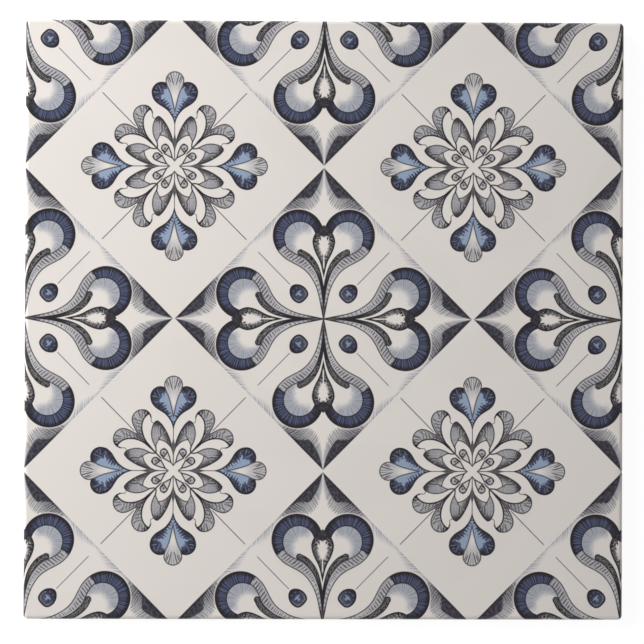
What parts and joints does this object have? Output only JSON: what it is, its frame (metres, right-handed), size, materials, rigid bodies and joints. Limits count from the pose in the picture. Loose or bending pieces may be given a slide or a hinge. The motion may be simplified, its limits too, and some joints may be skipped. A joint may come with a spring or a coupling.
{
  "type": "delft tile",
  "caption": "Square glazed ceramic wall tile with a cushion edge, a keyed waffle back and a blue and white scroll and rosette pattern under the glaze.",
  "frame": {"origin": "centre of the bedding plane, the plane that the ribs of the back stand on", "axes": "+Z out of the glazed face, +X to the right and +Y to the top of the pattern as the picture shows it"},
  "size_m": [0.1524, 0.1524, 0.0064],
  "materials": {
    "glazed_earthenware": "gloss"
  },
  "bodies": {
    "root": {"tile": "glazed_earthenware"}
  },
  "joints": []
}
